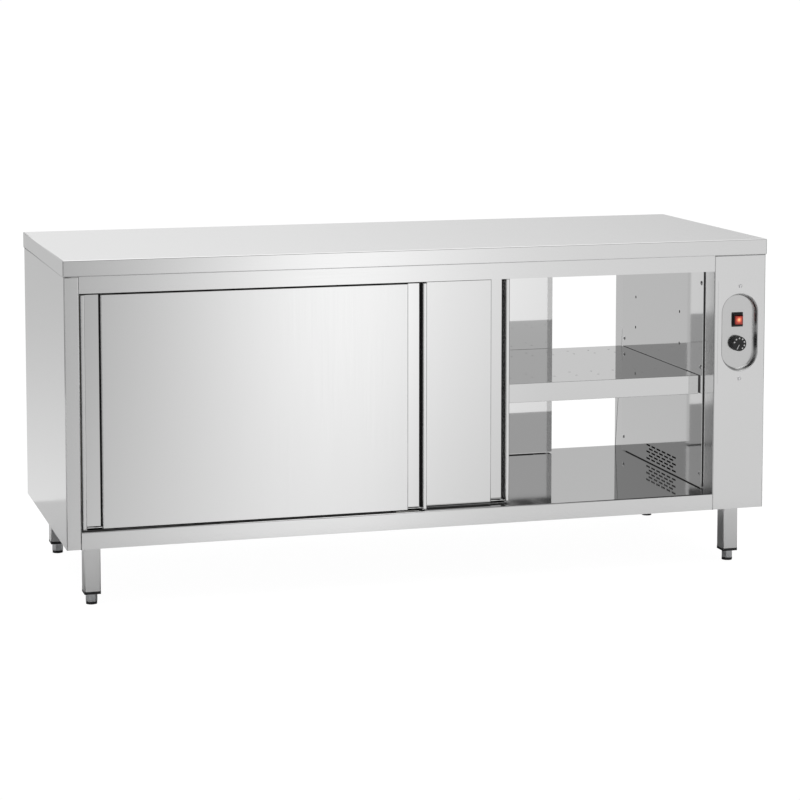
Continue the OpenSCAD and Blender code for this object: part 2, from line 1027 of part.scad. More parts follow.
worktop();
worktop_board();
worktop_stiffeners();
left_outer_panel();
right_outer_panel();
left_inner_wall();
right_inner_wall();
floor_pan();
base_panel();
ceiling_panel();
top_rails();
upper_tracks();
insulation();
bottom_guides();
shelf();
shelf_supports();
wall_screws();
legs();
leg_plugs();
foot_front_left();
foot_front_right();
foot_rear_left();
foot_rear_right();
pad_front_left();
pad_front_right();
pad_rear_left();
pad_rear_right();
front_left_skin();
front_left_liner();
front_left_hangers();
front_left_roller_a();
front_left_roller_b();
front_right_skin();
front_right_liner();
front_right_hangers();
front_right_roller_a();
front_right_roller_b();
rear_left_skin();
rear_left_liner();
rear_left_hangers();
rear_left_roller_a();
rear_left_roller_b();
rear_right_skin();
rear_right_liner();
rear_right_hangers();
rear_right_roller_a();
rear_right_roller_b();
control_plate();
plate_screws();
switch_housing();
rocker();
thermostat();
knob();
fan_duct();
fan_motor();
fan_wheel();
heating_element();
safety_cutout();
terminal_block();
cable_gland();
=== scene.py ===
# %% [markdown]
# # A pass-through plate warmer cabinet
#
# The object is a heated steel cupboard from a serving counter. Plates go in from one side and
# come out of the other, so it has two pairs of sliding doors, a shelf between them, and a column
# at the right end with a switch, a thermostat and a small fan heater behind them.
#
# The measured model is loaded first. It has every part at its real size, in metres, with +Z up
# and the front at -Y. Parts with the right form keep their mesh and get a finish. Parts that
# need softer edges or finer detail get a new piece that is made here and stands in for them.

# %% Load the measured model
import json
import math

import bmesh
import bpy
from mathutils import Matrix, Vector


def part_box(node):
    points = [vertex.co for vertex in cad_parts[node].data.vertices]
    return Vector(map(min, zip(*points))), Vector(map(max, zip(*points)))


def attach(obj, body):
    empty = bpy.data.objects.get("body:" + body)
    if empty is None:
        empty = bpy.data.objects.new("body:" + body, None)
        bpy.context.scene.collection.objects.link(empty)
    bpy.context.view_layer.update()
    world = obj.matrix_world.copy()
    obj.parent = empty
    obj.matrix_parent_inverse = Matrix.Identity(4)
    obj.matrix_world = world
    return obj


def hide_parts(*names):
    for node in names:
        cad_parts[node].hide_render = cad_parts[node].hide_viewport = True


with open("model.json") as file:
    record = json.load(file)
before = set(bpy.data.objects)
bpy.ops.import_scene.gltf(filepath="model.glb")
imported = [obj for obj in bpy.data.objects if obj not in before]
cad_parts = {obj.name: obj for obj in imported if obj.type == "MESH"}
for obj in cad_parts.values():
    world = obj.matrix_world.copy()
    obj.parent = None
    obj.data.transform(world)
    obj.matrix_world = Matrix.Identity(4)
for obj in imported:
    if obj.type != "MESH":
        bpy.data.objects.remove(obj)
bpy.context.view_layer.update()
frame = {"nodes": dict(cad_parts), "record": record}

scene = bpy.context.scene
parts = frame["nodes"]
MM = 0.001

# %% [markdown]
# ## The camera
#
# A catalogue picture of a long cabinet is taken from a few metres away with a long lens, a
# little above the worktop and to the left, so that the left side shows as a narrow band. The
# lens looks slightly down, and a small upward shift of the frame keeps the uprights nearly
# parallel. The place and the lens were worked out from the edges of the worktop and the doors.

# %% Place the camera
CAMERA_PLACE = (-1.7489, -6.1403, 1.5004)
CAMERA_PITCH = 5.457
CAMERA_YAW = 16.126
CAMERA_LENS = 111.78
CAMERA_SHIFT = -0.22925

camera_data = bpy.data.cameras.new("catalogue_camera")
camera_data.lens = CAMERA_LENS
camera_data.shift_y = CAMERA_SHIFT
camera = bpy.data.objects.new("catalogue_camera", camera_data)
camera.location = CAMERA_PLACE
camera.rotation_euler = (math.radians(90 - CAMERA_PITCH), 0, math.radians(-CAMERA_YAW))
scene.collection.objects.link(camera)
scene.camera = camera
scene.view_settings.view_transform = "Standard"
print("camera:", CAMERA_PLACE, "lens", CAMERA_LENS)

# %% [markdown]
# ## Node trees
#
# Every finish and the light in the room are node trees, so one small helper adds a node, sets
# its values and joins its sockets. Without it each tree would be twice as long to read.


# %% A helper that adds one node to a tree
def add_node(tree, kind, settings=None, **inputs):
    """Adds a node; inputs are given by socket name with _ for a space, as values or sockets."""
    node = tree.nodes.new(kind)
    for name, value in (settings or {}).items():
        setattr(node, name, value)
    for name, value in inputs.items():
        key = int(name[1:]) if name[0] == "_" else name.replace("_", " ")
        socket = node.inputs[key]
        if isinstance(value, bpy.types.NodeSocket):
            tree.links.new(value, socket)
        else:
            socket.default_value = value
    return node


def calculate(tree, operation, *values):
    """Adds a Math node and returns its result."""
    inputs = {f"_{i}": value for i, value in enumerate(values)}
    return add_node(tree, "ShaderNodeMath", {"operation": operation}, **inputs).outputs[0]


print("node helpers are ready")

# %% [markdown]
# ## The light in the room
#
# Polished steel has hardly a colour of its own: what is seen is the room. A studio lights such
# a cabinet with large white walls and leaves dark gaps between them, so that flat sheets run
# softly from grey to white and folded edges get dark lines. Lamps could do this with a dozen
# cards, but each card would show its edge in the steel. The World can hold the same room as
# five smooth profiles by compass direction, from far above the horizon to well below it. The
# camera stands in a black gap between two walls, and the deep channels of the doors mirror just
# that gap. A soft bright ceiling closes the top. The camera itself sees plain white.

# %% Light the room
# Compass direction in degrees (0 is the front, 90 the right end), then the brightness far above
# the horizon, well above it, a little above it, a little below it and further down.
ROOM_WALL = [
    (-180, 0.80, 0.85, 0.93, 0.60, 0.84), (-171, 0.80, 0.70, 0.92, 0.56, 0.86),
    (-165, 0.80, 0.50, 0.80, 0.60, 0.68), (-154, 0.80, 0.42, 0.66, 0.58, 0.60),
    (-146, 0.60, 0.35, 0.50, 0.40, 0.40), (-118, 0.40, 0.30, 0.25, 0.20, 0.20),
    (-66, 0.40, 0.30, 0.25, 0.20, 0.20), (-58, 0.50, 0.60, 0.70, 0.66, 0.66),
    (-31, 0.20, 0.60, 0.60, 0.50, 0.42), (-24.5, 0.20, 0.60, 0.64, 0.66, 0.64),
    (-22, 0.20, 0.62, 0.66, 0.90, 0.80), (-17, 0.20, 0.80, 0.90, 1.05, 0.95),
    (-6, 0.20, 0.40, 0.40, 0.20, 0.16), (5, 0.20, 0.50, 0.50, 0.39, 0.42),
    (8, 0.20, 0.55, 0.60, 0.43, 0.56), (10, 0.20, 0.62, 0.80, 0.62, 0.72),
    (12.3, 0.20, 0.66, 1.00, 0.93, 0.90), (13.4, 0.20, 0.70, 1.10, 1.21, 0.96),
    (14.6, 0.20, 0.70, 1.10, 1.34, 1.03), (15.8, 0.20, 0.70, 1.10, 1.26, 0.95),
    (17, 0.20, 0.70, 1.00, 1.00, 0.76), (19, 0.20, 0.69, 0.90, 0.82, 0.66),
    (23.6, 0.20, 0.70, 0.82, 0.76, 0.73), (56, 0.50, 0.70, 0.70, 0.70, 0.70),
    (61, 0.50, 0.40, 0.30, 0.20, 0.20), (110, 0.60, 0.40, 0.40, 0.20, 0.20),
    (120, 0.90, 0.80, 0.70, 0.72, 0.72), (148, 0.90, 0.85, 0.60, 0.70, 0.66),
    (156, 0.80, 1.00, 0.58, 0.66, 0.60), (166, 0.80, 1.00, 0.77, 0.66, 0.64),
    (180, 0.80, 0.85, 0.93, 0.60, 0.84),
]
# One profile gives way to the next between two heights. A height is the sine of the angle
# above the horizon.
DEEP_TO_BELOW = (-0.24, -0.11)
BELOW_TO_ABOVE = (-0.05, 0.08)
ABOVE_TO_HIGH = (0.118, 0.14)
HIGH_TO_TOP = (0.26, 0.36)
TOP_TO_CEILING = (0.72, 0.92)
# The black gap sets in between the first two compass directions and fades between the others.
GAP_BEGINS = (-19.05, -18.85)
GAP_ENDS = (-6.5, -5.5)
GAP_TONE = 0.01
BRIGHTEST = 2.0
ROOM_CEILING = 1.5
ROOM_BACKGROUND = 1.02


def colour_ramp(tree, share, rows):
    """The colour at a share from 0 to 1, between rows of a place and the colour there."""
    ramp = add_node(tree, "ShaderNodeValToRGB", Fac=share)
    stops = ramp.color_ramp.elements
    while len(stops) > 1:
        stops.remove(stops[-1])
    for number, (place, colour) in enumerate(rows):
        stop = stops[0] if number == 0 else stops.new(place)
        stop.position = place
        stop.color = (*colour, 1)
    return ramp.outputs["Color"]


def profile(tree, share, column):
    """One of the profiles: the wall's tone at a share of the full turn."""
    rows = [((row[0] + 180) / 360, [row[column] / BRIGHTEST] * 3) for row in ROOM_WALL]
    return calculate(tree, "MULTIPLY", colour_ramp(tree, share, rows), BRIGHTEST)


def blend(tree, amount, span, first, last):
    """Goes from the first tone to the last while the amount goes through the span."""
    rise = add_node(tree, "ShaderNodeMapRange", {"interpolation_type": "SMOOTHSTEP"}, Value=amount)
    rise.inputs["From Min"].default_value = span[0]
    rise.inputs["From Max"].default_value = span[1]
    mix = add_node(tree, "ShaderNodeMix", {"data_type": "FLOAT"}, _0=rise.outputs["Result"])
    for label, value in (("A", first), ("B", last)):
        if isinstance(value, bpy.types.NodeSocket):
            tree.links.new(value, mix.inputs[label])
        else:
            mix.inputs[label].default_value = value
    return mix.outputs["Result"]


def light_room():
    """Builds the world: five wall profiles by compass direction and a bright ceiling."""
    world = bpy.data.worlds.new("studio_room")
    world.use_nodes = True
    tree = world.node_tree
    tree.nodes.clear()
    look = add_node(tree, "ShaderNodeTexCoord").outputs["Generated"]
    axes = add_node(tree, "ShaderNodeSeparateXYZ", Vector=look).outputs
    towards_front = calculate(tree, "MULTIPLY", axes["Y"], -1.0)
    compass = calculate(tree, "ARCTAN2", axes["X"], towards_front)
    share = calculate(tree, "MULTIPLY_ADD", compass, 0.5 / math.pi, 0.5)
    top, high, above, below, deep = [profile(tree, share, column) for column in range(1, 6)]
    wall = blend(tree, axes["Z"], DEEP_TO_BELOW, deep, below)
    wall = blend(tree, axes["Z"], BELOW_TO_ABOVE, wall, above)
    wall = blend(tree, axes["Z"], ABOVE_TO_HIGH, wall, high)
    degrees = calculate(tree, "DEGREES", compass)
    entered = blend(tree, degrees, GAP_BEGINS, 0.0, 1.0)
    not_left = blend(tree, degrees, GAP_ENDS, 1.0, 0.0)
    gap = calculate(tree, "MULTIPLY", entered, not_left)
    wall = blend(tree, gap, (0.0, 1.0), wall, GAP_TONE)
    wall = blend(tree, axes["Z"], HIGH_TO_TOP, wall, top)
    room = blend(tree, axes["Z"], TOP_TO_CEILING, wall, ROOM_CEILING)
    seen = add_node(tree, "ShaderNodeLightPath").outputs["Is Camera Ray"]
    light = blend(tree, seen, (0.0, 1.0), room, ROOM_BACKGROUND)
    glow = add_node(tree, "ShaderNodeBackground", Color=(1, 1, 1, 1), Strength=light)
    add_node(tree, "ShaderNodeOutputWorld", Surface=glow.outputs["Background"])
    return world


scene.world = light_room()
print("room:", len(ROOM_WALL), "wall tones")

# %% [markdown]
# ## The floor
#
# The cabinet stands on a pale sweep of paper. A small plane is enough, because the room beyond
# it is just as white to the camera. The paper takes a faint shadow round the feet. Most of its
# white comes from its own light, so that the shadow stays weak and the edge can't be seen.

# %% Lay the floor
FLOOR_REACH = (1.75, 0.93)
FLOOR_TONE = 0.7
FLOOR_SHADE = 0.12
FLOOR_GLOW = 0.97


def lay_floor():
    """A plain pale plane under the cabinet."""
    mesh = bpy.data.meshes.new("floor")
    x, y = FLOOR_REACH
    mesh.from_pydata([(-x, -y, 0), (x, -y, 0), (x, y, 0), (-x, y, 0)], [], [(0, 1, 2, 3)])
    floor = bpy.data.objects.new("floor", mesh)
    scene.collection.objects.link(floor)
    paper = bpy.data.materials.new("white_paper")
    paper.use_nodes = True
    tree = paper.node_tree
    tree.nodes.clear()
    dull = add_node(tree, "ShaderNodeBsdfDiffuse", Color=(FLOOR_TONE, FLOOR_TONE, FLOOR_TONE, 1))
    weak = add_node(tree, "ShaderNodeBsdfDiffuse", Color=(FLOOR_SHADE, FLOOR_SHADE, FLOOR_SHADE, 1))
    glow = add_node(tree, "ShaderNodeEmission", Strength=FLOOR_GLOW)
    both = add_node(tree, "ShaderNodeAddShader", _0=weak.outputs[0], _1=glow.outputs[0])
    seen = add_node(tree, "ShaderNodeLightPath").outputs["Is Camera Ray"]
    mix = add_node(tree, "ShaderNodeMixShader", _0=seen, _1=dull.outputs[0], _2=both.outputs[0])
    add_node(tree, "ShaderNodeOutputMaterial", Surface=mix.outputs[0])
    mesh.materials.append(paper)


lay_floor()
print("floor:", FLOOR_REACH)

# %% [markdown]
# ## Stainless sheet
#
# All the sheet is stainless steel, ground with a fine belt along one direction. The scratches
# are far finer than a picture can show. What shows is that the reflection is a little blurred
# and that the blur varies slightly along the grain. A noise stretched along the grain drives
# the roughness. Object coordinates are metres on the cabinet, so the pattern has a real size
# and stays with its part when a door slides. The inner sheets are polished brighter than the
# outer ones, and they mirror each other. Only the first few mirrorings are followed, so the
# inner sheets give off a very faint light in place of what the rest would bring.


# %% Make the finishes
def new_finish(name, colour, roughness, metallic=0.0):
    """A material with one Principled shader; returns the material, its tree and the shader."""
    finish = bpy.data.materials.new(name)
    finish.use_nodes = True
    tree = finish.node_tree
    shader = tree.nodes["Principled BSDF"]
    shader.inputs["Base Color"].default_value = (*colour, 1)
    shader.inputs["Roughness"].default_value = roughness
    shader.inputs["Metallic"].default_value = metallic
    return finish, tree, shader


NOISE_DETAIL = 3.0
NOISE_SPAN = (0.3, 0.7)


def varied(tree, place, size, low, high):
    """A noise of that size in metres (one per axis), spread between low and high."""
    scale = tuple(1 / s for s in size)
    stretch = add_node(tree, "ShaderNodeMapping", Vector=place, Scale=scale).outputs[0]
    noise = add_node(tree, "ShaderNodeTexNoise", Vector=stretch, Scale=1.0, Detail=NOISE_DETAIL)
    spread = add_node(tree, "ShaderNodeMapRange", Value=noise.outputs[0])
    spread.inputs["From Min"].default_value = NOISE_SPAN[0]
    spread.inputs["From Max"].default_value = NOISE_SPAN[1]
    spread.inputs["To Min"].default_value = low
    spread.inputs["To Max"].default_value = high
    return spread.outputs[0]


GRAIN_LENGTH = 180 * MM
GRAIN_WIDTH = 0.7 * MM
GRAIN_SPREAD = 0.12


def sheet_steel(name, grain, roughness, tone=0.8, glance=1.0, stray_glow=0.0):
    """Ground stainless sheet.

    Grain is the belt's axis, tone is how much the sheet mirrors and glance dims that at flat
    angles. Stray glow is a faint painted glow of the sheet's own that stands in for stray light
    inside the compartment.
    """
    finish, tree, shader = new_finish(name, (tone, tone, tone), roughness, 1.0)
    shader.inputs["Specular Tint"].default_value = (glance, glance, glance, 1)
    shader.inputs["Emission Color"].default_value = (1.0, 1.0, 1.0, 1)
    shader.inputs["Emission Strength"].default_value = stray_glow
    place = add_node(tree, "ShaderNodeTexCoord").outputs["Object"]
    size = [GRAIN_WIDTH] * 3
    size[grain] = GRAIN_LENGTH
    least, most = roughness * (1 - GRAIN_SPREAD), roughness * (1 + GRAIN_SPREAD)
    blur = varied(tree, place, size, least, most)
    tree.links.new(blur, shader.inputs["Roughness"])
    return finish


STEEL_X = sheet_steel("steel_ground_lengthwise", 0, 0.12)
STEEL_RAIL = sheet_steel("steel_rail_lengthwise", 0, 0.12, 0.8)
STEEL_Z = sheet_steel("steel_ground_upright", 2, 0.12)
# The stray glow on the inner sheets is painted light that stands in for light between them.
STEEL_SHELF = sheet_steel("steel_shelf_lengthwise", 0, 0.04, 0.76, 0.64, stray_glow=0.012)
STEEL_FLOOR = sheet_steel("steel_floor_lengthwise", 0, 0.045, 0.7, 0.55, stray_glow=0.016)
STEEL_WALL = sheet_steel("steel_wall_upright", 2, 0.045, 0.75, stray_glow=0.018)
STEEL_LINER = sheet_steel("steel_liner_upright", 2, 0.03, 0.88, stray_glow=0.03)
print("steel finishes: 7")

# %% [markdown]
# ## The other finishes
#
# Zinc plate on the base, the feet and the hidden brackets is duller than the sheet. The door
# tracks and hangers are painted near black, as painted shade for the dark space above the doors.
# The rollers are white nylon, the plugs, knob and switch are black plastic, and the wool and the
# board are only seen when a panel is taken off. The heater and its duct are painted near black,
# as painted shade, so the vent looks black. Each is a plain colour with a little variation of
# its own; only the print on the dial is even.


# %% Make the plastic, zinc, board and wool
def speckled(name, colour, roughness, size, spread, metallic=0.0, bump=0.0):
    """A plain finish whose roughness varies by spread over patches of that size in metres."""
    finish, tree, shader = new_finish(name, colour, roughness, metallic)
    place = add_node(tree, "ShaderNodeTexCoord").outputs["Object"]
    blur = varied(tree, place, (size,) * 3, roughness - spread, roughness + spread)
    tree.links.new(blur, shader.inputs["Roughness"])
    if bump:
        rough = add_node(tree, "ShaderNodeBump", Height=blur, Distance=bump)
        tree.links.new(rough.outputs[0], shader.inputs["Normal"])
    return finish


ZINC = speckled("zinc_plate", (0.6, 0.61, 0.62), 0.34, 4 * MM, 0.06, metallic=1.0)
NYLON = speckled("white_nylon", (0.86, 0.86, 0.83), 0.42, 2 * MM, 0.05)
BLACK = speckled("black_plastic", (0.012, 0.012, 0.013), 0.36, 0.8 * MM, 0.05)
RUBBER = speckled("black_rubber", (0.02, 0.02, 0.021), 0.6, 1 * MM, 0.08)
BOARD = speckled("pressed_board", (0.52, 0.38, 0.22), 0.8, 3 * MM, 0.1, bump=0.3 * MM)
WOOL = speckled("mineral_wool", (0.6, 0.5, 0.24), 0.95, 5 * MM, 0.05, bump=2 * MM)
PRINT, _, _ = new_finish("white_print", (0.85, 0.85, 0.85), 0.5)
SCREW = speckled("bright_screw", (0.86, 0.86, 0.87), 0.16, 2 * MM, 0.03, metallic=1.0)
# The near black of the heater and its duct is painted shade behind the vent.
VENT_SHADE = speckled("vent_painted_shade_steel", (0.07, 0.065, 0.06), 0.5, 5 * MM, 0.08, metallic=1.0)
# The near black of the tracks and hangers is painted shade.
TRACK_SHADE = speckled("track_painted_shade", (0.09, 0.09, 0.09), 0.45, 4 * MM, 0.06, metallic=1.0)
print("other finishes: 10")

# %% [markdown]
# ## Dress the measured parts
#
# The record says which stock each part is cut from. That is enough to give every part a finish,
# and short lists name the parts that differ from the rest of their stock. The rocker starts out
# black like the switch around it, and its piece gets a red lens further down.

# %% Give every part its finish
STOCK = {
    "stainless_sheet": STEEL_X,
    "plated_steel": ZINC,
    "white_nylon": NYLON,
    "black_plastic": BLACK,
    "red_plastic": BLACK,
    "board": BOARD,
    "mineral_wool": WOOL,
}
CORNERS = ["front_left", "front_right", "rear_left", "rear_right"]
DOORS = CORNERS
UPRIGHT = ["left_outer_panel", "right_outer_panel", "control_plate", "legs"]
UPRIGHT += [door + "_skin" for door in DOORS]
INNER_UPRIGHT = ["left_inner_wall", "right_inner_wall"]
LINERS = [door + "_liner" for door in DOORS]

slot_of = {row["node"]: row["material_slot"] for row in frame["record"]["subparts"]}
finish_of = {name: STOCK[slot_of[name]] for name in parts}
finish_of.update({name: STEEL_Z for name in UPRIGHT})
finish_of.update({name: STEEL_WALL for name in INNER_UPRIGHT})
finish_of.update({"shelf": STEEL_SHELF, "floor_pan": STEEL_FLOOR, "ceiling_panel": STEEL_FLOOR})
finish_of.update({name: STEEL_LINER for name in LINERS})
finish_of.update({"pad_" + corner: RUBBER for corner in CORNERS})
finish_of.update({"fan_duct": VENT_SHADE, "heating_element": VENT_SHADE, "upper_tracks": TRACK_SHADE})
finish_of.update({door + "_hangers": TRACK_SHADE for door in DOORS})


def wear(part, finish):
    """Puts one finish on a part, in every material slot it has."""
    if not part.material_slots:
        part.data.materials.append(finish)
    for material_slot in part.material_slots:
        material_slot.material = finish


for name, part in parts.items():
    wear(part, finish_of[name])
print("dressed parts:", len(parts))

# %% [markdown]
# ## Soften the folds
#
# Sheet is folded round a tool with a small radius, so no outer edge of the cabinet is sharp,
# and each fold catches a thin line of light. The measured parts have sharp folds, because they
# are flat cuts. A copy of the mesh is welded, its flat triangles are merged, and only the outer
# edges between two wide faces are bevelled: a cut edge, one sheet thick, stays crisp. The
# floor's front and back rails are folded from its own sheet, but they are ground like the
# outside.

# %% A copy with rounded folds
BODY_OF = {
    member: body
    for body, members in frame["record"]["behaviour"]["bodies"].items()
    for member in members
}

# Corners within the weld's reach become one, and faces that differ by less than the flat angle
# are merged. An angle between the two facet angles lies within one curved surface.
WELD_REACH = 0.005 * MM
FLAT_DEGREES = 0.3
FACET_DEGREES = (1, 32)
FOLD_STEPS = 4
STRIP_RADII = 1.5


def face_width(face):
    """Roughly the width of a long face: twice the area over the length of its border."""
    return 2 * face.calc_area() / face.calc_perimeter()


def shallow(edge):
    """True for an edge between two facets of one curved surface."""
    if len(edge.link_faces) != 2:
        return False
    least, most = FACET_DEGREES
    return math.radians(least) < edge.calc_face_angle(0) < math.radians(most)


def softened(name, radius, narrowest, sharpest=35, clamp=True):
    """A piece that stands in for a part, with its outer folds rounded to that radius.

    A fold is an edge sharper than that many degrees between faces wider than the narrowest.
    The part's stored normals would keep the new faces flat, so the piece goes without them.
    """
    mesh = parts[name].data.copy()
    mesh.name = name + "_soft"
    solid = bmesh.new()
    solid.from_mesh(mesh)
    bmesh.ops.remove_doubles(solid, verts=solid.verts, dist=WELD_REACH)
    bmesh.ops.dissolve_limit(
        solid, angle_limit=math.radians(FLAT_DEGREES), verts=solid.verts, edges=solid.edges
    )
    folds = [
        edge for edge in solid.edges
        if len(edge.link_faces) == 2
        and edge.calc_face_angle_signed(0) > math.radians(sharpest)
        and min(face_width(face) for face in edge.link_faces) > narrowest
    ]
    for face in solid.faces:
        face.smooth = sum(shallow(edge) for edge in face.edges) >= 2
    if folds:
        made = bmesh.ops.bevel(
            solid, geom=folds, offset=radius, segments=FOLD_STEPS, profile=0.5,
            affect="EDGES", clamp_overlap=clamp,
        )
        for face in made["faces"]:
            face.smooth = face.smooth or face_width(face) < STRIP_RADII * radius
    solid.to_mesh(mesh)
    solid.free()
    stored = mesh.attributes.get("custom_normal")
    if stored:
        mesh.attributes.remove(stored)
    piece = bpy.data.objects.new(name + "_piece", mesh)
    scene.collection.objects.link(piece)
    stand_in(piece, name)
    return piece


def stand_in(piece, name):
    """The piece rides where the part rides, hides it and takes its finish."""
    wear(piece, finish_of[name])
    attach(piece, BODY_OF[name])
    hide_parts(name)


def dress_rails(piece):
    """Gives the outer finish to the faces that look to the front or the back."""
    piece.data.materials.append(STEEL_RAIL)
    for face in piece.data.polygons:
        face.material_index = 1 if abs(face.normal.y) > RAIL_FACING else 0


FOLD_RADIUS = 2.6 * MM
SHELF_RADIUS = 1.0 * MM
NARROWEST_RADII = 2.2
RAIL_FACING = 0.4
SOFT_SHEETS = ["worktop", "left_outer_panel", "right_outer_panel", "top_rails", "base_panel"]
SOFT_SHEETS += ["floor_pan", "left_inner_wall", "right_inner_wall", "shelf"]
for name in SOFT_SHEETS:
    radius = SHELF_RADIUS if name == "shelf" else FOLD_RADIUS
    piece = softened(name, radius, narrowest=NARROWEST_RADII * radius, clamp=False)
    if name == "floor_pan":
        dress_rails(piece)
    print(name, "faces:", len(piece.data.polygons))

# %% [markdown]
# ## The door skins
#
# A door has no handle. Each upright edge is folded back into a deep channel that the fingers
# reach into, and its folds are rounded, which is kinder to the hand. The belt can't reach into
# the channel, so its sheet keeps the smooth finish of the mill: the faces that lie deeper than
# the outer face get that finish. The flanges at the top and bottom of the two doors in the
# outer tracks are a dark, rough steel, as painted shade for the gaps above and below those
# doors. Those two are the doors that stand out furthest from the middle of the cabinet.

# %% Round the door skins and dress their channels
SKIN_RADIUS = 2.4 * MM
SKIN_NARROWEST = 6 * MM
CHANNEL_DEPTH = 2.5 * MM
END_FACING = 0.9
STEEL_CHANNEL = sheet_steel("steel_channel_upright", 2, 0.03)
# The dark, rough steel of the doors' ends is painted shade for the gaps above and below them.
STEEL_END_SHADE = sheet_steel("steel_door_end_painted_shade", 0, 0.3, 0.3)


def reach(door):
    """How far a door's skin stands out from the middle of the cabinet."""
    low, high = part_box(door + "_skin")
    return max(-low.y, high.y)


def dress_channels(piece, depth, shaded_ends):
    """Gives the mill finish to the faces deep behind the outer face, and dark steel to the door's
    ends, which is painted shade.
    """
    piece.data.materials.append(STEEL_CHANNEL)
    piece.data.materials.append(STEEL_END_SHADE)
    front = piece.name.startswith("front")
    depths = [v.co.y if front else -v.co.y for v in piece.data.vertices]
    outer = min(depths)
    for face in piece.data.polygons:
        # The door's ends take the dark steel, which is painted shade, when shaded_ends is set.
        if abs(face.normal.z) > END_FACING:
            face.material_index = 2 if shaded_ends else 0
        elif min(depths[v] for v in face.vertices) > outer + depth:
            face.material_index = 1


middle_reach = sum(reach(door) for door in DOORS) / len(DOORS)
outermost = [door for door in DOORS if reach(door) > middle_reach]
print("doors in the outer tracks:", outermost)
for door in DOORS:
    piece = softened(door + "_skin", SKIN_RADIUS, narrowest=SKIN_NARROWEST, clamp=False)
    dress_channels(piece, CHANNEL_DEPTH, door in outermost)
    print(door, "faces:", len(piece.data.polygons))

# %% [markdown]
# ## Legs and feet
#
# A leg is a square tube with rounded corners. A black plug closes its end and holds the nut of
# a screw foot: a hexagon that a spanner turns, and a rubber pad below it.

# %% Round the legs and feet
LEG_RADIUS = 2.5 * MM
FOOT_RADIUS = 0.8 * MM
PAD_RADIUS = 1.5 * MM
soften_legs = [("legs", LEG_RADIUS), ("leg_plugs", FOOT_RADIUS)]
soften_legs += [("foot_" + corner, FOOT_RADIUS) for corner in CORNERS]
soften_legs += [("pad_" + corner, PAD_RADIUS) for corner in CORNERS]
for name, radius in soften_legs:
    piece = softened(name, radius, narrowest=2 * MM)
    print(name, "faces:", len(piece.data.polygons))

# %% [markdown]
# ## The control plate
#
# The switch and the knob sit in a long dish pressed into a steel plate. The dish keeps plates
# and trays from knocking the knob. A press leaves a soft radius at the rim, and its walls lean
# out a little so that the tool comes free: the floor of the dish is drawn in by a few
# millimetres all round. The belt reaches neither its floor nor its walls, so they are rougher;
# they are also a darker steel than the plate, which is painted shade in the dish.

# %% Round the control plate, the switch frame, the rocker and the knob
# Depths are taken from the plate's face. Past the rim the walls begin to lean, over the lean
# depth they come to their full lean, and the floor lies deeper than the floor depth. Only
# corners further out than the wall share of the dish's half width are moved.
RIM_RADIUS = 2.6 * MM
RIM_DEPTH = 4 * MM
DISH_LEAN = 5 * MM
DISH_LEAN_DEPTH = 10 * MM
DISH_WALL_SHARE = 0.85
DISH_FLOOR_DEPTH = 12 * MM
FRAME_RADIUS = 0.7 * MM
ROCKER_RADIUS = 0.8 * MM
KNOB_RADIUS = 0.7 * MM


def lean_dish(piece, lean):
    """Draws in the floor of the dish, so that its walls lean."""
    low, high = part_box("control_plate")
    middle_x, middle_z = (low.x + high.x) / 2, (low.z + high.z) / 2
    rim = low.y + RIM_DEPTH
    deep = [v for v in piece.data.vertices if v.co.y > rim]
    reach_x = max(abs(v.co.x - middle_x) for v in deep)
    reach_z = max(abs(v.co.z - middle_z) for v in deep)
    straight = reach_z - reach_x
    for v in deep:
        across, up = v.co.x - middle_x, v.co.z - middle_z
        beyond = up - max(-straight, min(straight, up))
        length = math.hypot(across, beyond)
        if length > DISH_WALL_SHARE * reach_x:
            share = lean * min(1, (v.co.y - rim) / DISH_LEAN_DEPTH) / length
            v.co.x -= across * share
            v.co.z -= beyond * share


def shade_dish(piece, depth, floor, wall):
    """Gives the darker steels, painted shade, to the dish's floor and to its drawn wall."""
    piece.data.materials.append(floor)
    piece.data.materials.append(wall)
    outer = min(v.co.y for v in piece.data.vertices)
    for face in piece.data.polygons:
        depths = [piece.data.vertices[v].co.y - outer for v in face.vertices]
        if min(depths) > depth:
            face.material_index = 1
        elif max(depths) > depth:
            face.material_index = 2


# The dish's darker steels are painted shade in the dish; they are also rougher than the plate.
DISH_FLOOR_SHADE = sheet_steel("steel_drawn_dish_painted_shade", 2, 0.16, 0.67)
DISH_WALL_SHADE = sheet_steel("steel_drawn_wall_painted_shade", 2, 0.26, 0.56)
plate = softened("control_plate", RIM_RADIUS, narrowest=2.5 * MM, clamp=False)
lean_dish(plate, DISH_LEAN)
shade_dish(plate, DISH_FLOOR_DEPTH, DISH_FLOOR_SHADE, DISH_WALL_SHADE)
softened("switch_housing", FRAME_RADIUS, narrowest=1 * MM)
rocker = softened("rocker", ROCKER_RADIUS, narrowest=1.5 * MM, sharpest=8)
knob = softened("knob", KNOB_RADIUS, narrowest=1.2 * MM)
print("plate faces:", len(plate.data.polygons), "knob faces:", len(knob.data.polygons))

# %% [markdown]
# ## The lit rocker
#
# The rocker is a hollow red lens with a small neon lamp behind it. A lit lens glows orange
# where the lamp is near and stays deep red at its rim. One Principled shader can do that: red
# and glossy all over, with light of its own that fades with the distance from the lamp.

# %% Light the rocker
LAMP_REACH = 9 * MM
LAMP_STRENGTH = 0.75
LAMP_RISE = 1 * MM
# The colour of the light at a share of the lamp's reach.
LAMP_GLOW = [(0.25, (1.35, 1.0, 0.45)), (0.6, (0.85, 0.16, 0.08)), (1.0, (0.16, 0.02, 0.016))]


